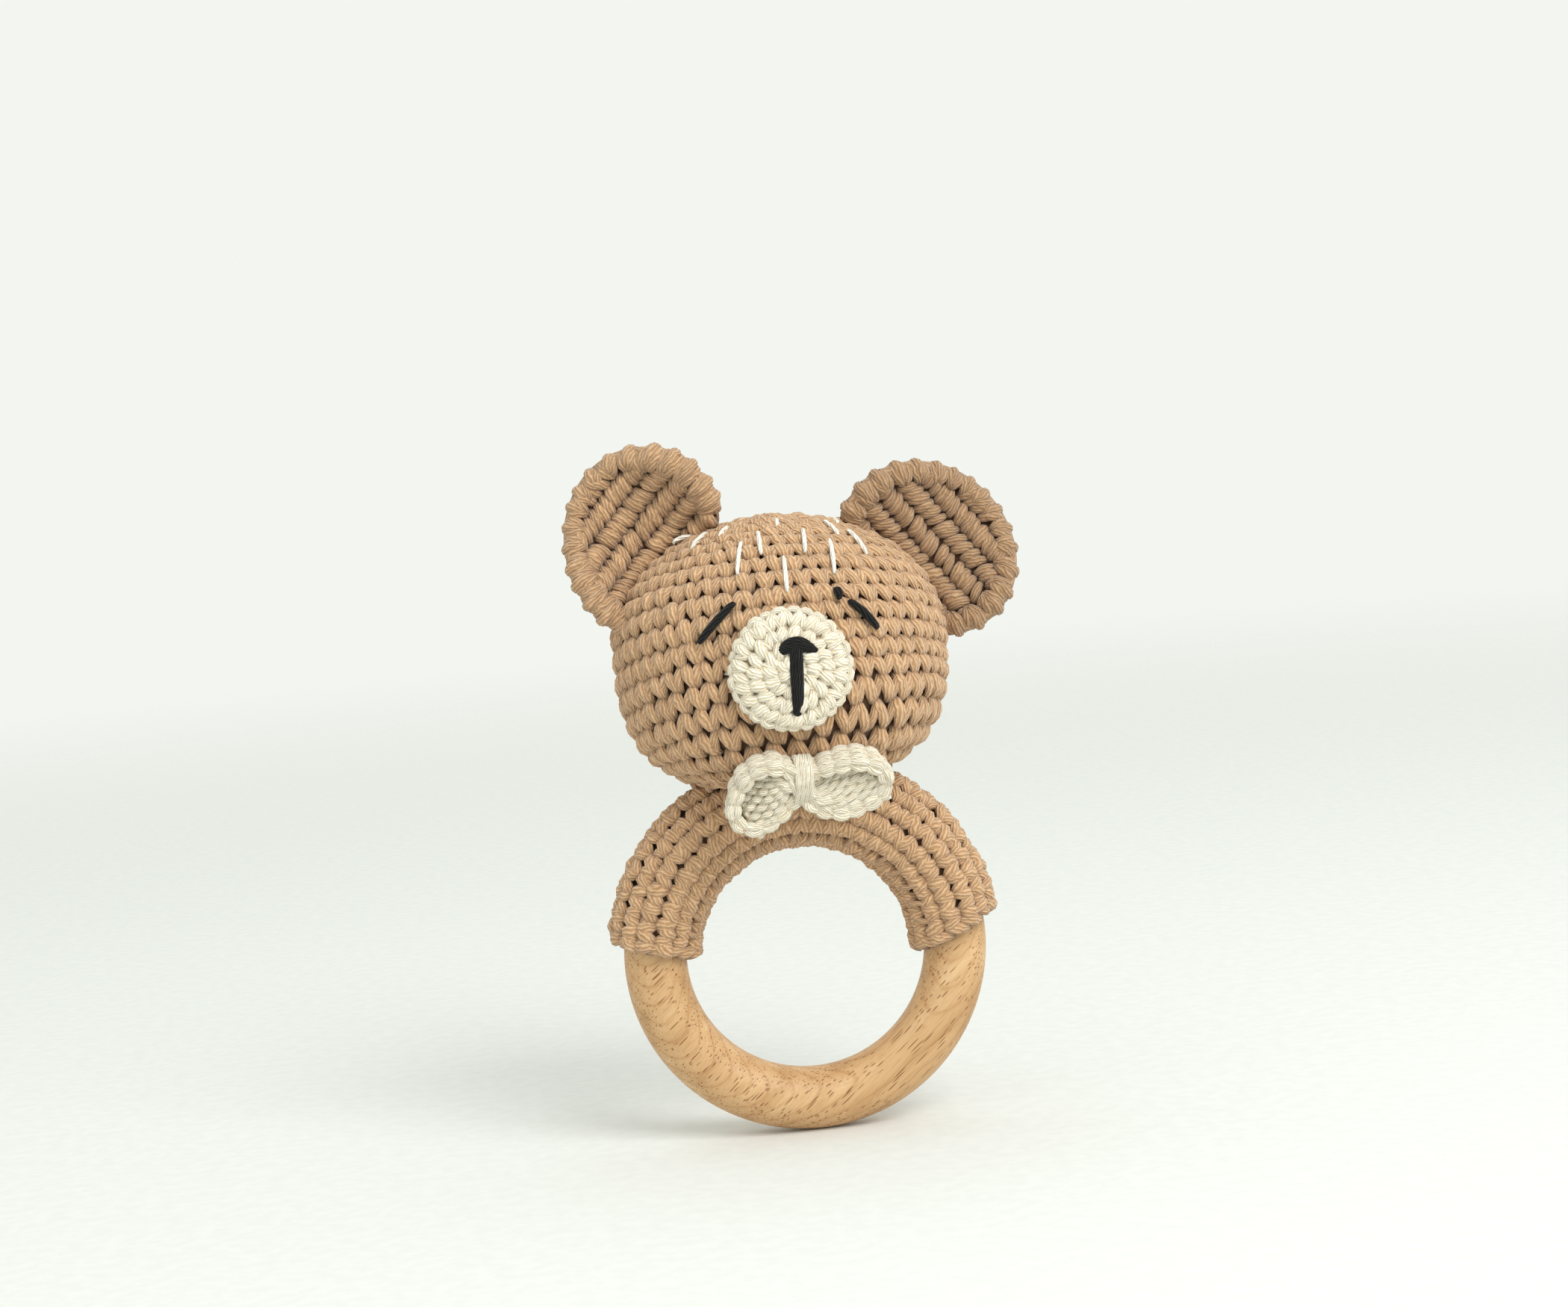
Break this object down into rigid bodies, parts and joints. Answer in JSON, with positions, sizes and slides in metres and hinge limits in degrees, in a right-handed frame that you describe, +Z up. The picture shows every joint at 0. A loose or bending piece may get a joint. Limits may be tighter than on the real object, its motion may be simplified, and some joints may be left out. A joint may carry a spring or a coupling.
{
  "type": "baby rattle",
  "caption": "Hand-held baby rattle: a crocheted bear head with a rattle capsule inside, on a crocheted sleeve over a turned wooden teething ring.",
  "frame": {"origin": "lowest point of the wooden ring, the point the toy stands on when it leans upright", "axes": "+Z up the toy from ring to head, -Y out of the face, +X to the right as the face is seen"},
  "size_m": [0.0865, 0.0616, 0.134],
  "materials": {
    "beech": "sanded smooth and oiled, satin",
    "brown_cotton": "matte cotton yarn, crocheted",
    "cream_cotton": "matte cotton yarn, crocheted",
    "black_cotton": "matte cotton embroidery thread",
    "stuffing": "loose polyester fibre",
    "capsule_plastic": "moulded polypropylene",
    "pellet_steel": "polished shot"
  },
  "bodies": {
    "toy": {"ring_sleeve": "brown_cotton", "sleeve_seam_yarn": "brown_cotton", "neck_seam_yarn": "brown_cotton", "head_skin": "brown_cotton", "head_stuffing": "stuffing", "capsule_lower_shell": "capsule_plastic", "capsule_upper_shell": "capsule_plastic", "muzzle_patch": "cream_cotton", "muzzle_seam_thread": "cream_cotton", "nose_embroidery": "black_cotton", "mouth_line_embroidery": "black_cotton", "eye_left_stitch": "black_cotton", "eye_right_stitch": "black_cotton", "forehead_stitches": "cream_cotton", "bow_band": "cream_cotton", "bow_wrap": "cream_cotton", "bow_sewing_yarn": "cream_cotton", "ear_left_seam_yarn": "brown_cotton", "ear_right_seam_yarn": "brown_cotton"},
    "ring": {"wooden_ring": "beech"},
    "left_ear": {"ear_left": "brown_cotton"},
    "right_ear": {"ear_right": "brown_cotton"},
    "pellet_1": {"pellet_1": "pellet_steel"},
    "pellet_2": {"pellet_2": "pellet_steel"},
    "pellet_3": {"pellet_3": "pellet_steel"},
    "pellet_4": {"pellet_4": "pellet_steel"},
    "pellet_5": {"pellet_5": "pellet_steel"}
  },
  "joints": [
    {"name": "ring_turn", "type": "hinge", "parent": "toy", "child": "ring", "pos_m": [0, 0, 0.035], "axis": [0, 1, 0], "continuous": true},
    {"name": "left_ear_flex", "type": "hinge", "parent": "toy", "child": "left_ear", "pos_m": [-0.0189, 0.003, 0.1081], "axis": [0.681, 0, 0.7323], "range_deg": [-20, 20], "stiffness_Nm_per_rad": 0.008},
    {"name": "right_ear_flex", "type": "hinge", "parent": "toy", "child": "right_ear", "pos_m": [0.02095, 0.002, 0.106], "axis": [0.6109, 0, -0.7917], "range_deg": [-20, 20], "stiffness_Nm_per_rad": 0.008},
    {"name": "pellet_1_fall", "type": "slide", "parent": "toy", "child": "pellet_1", "axis": [0, 0, 1], "range_m": [0, 0.0213]},
    {"name": "pellet_2_fall", "type": "slide", "parent": "toy", "child": "pellet_2", "axis": [0, 0, 1], "range_m": [0, 0.01826]},
    {"name": "pellet_3_fall", "type": "slide", "parent": "toy", "child": "pellet_3", "axis": [0, 0, 1], "range_m": [0, 0.01826]},
    {"name": "pellet_4_fall", "type": "slide", "parent": "toy", "child": "pellet_4", "axis": [0, 0, 1], "range_m": [0, 0.01826]},
    {"name": "pellet_5_fall", "type": "slide", "parent": "toy", "child": "pellet_5", "axis": [0, 0, 1], "range_m": [0, 0.01826]}
  ]
}
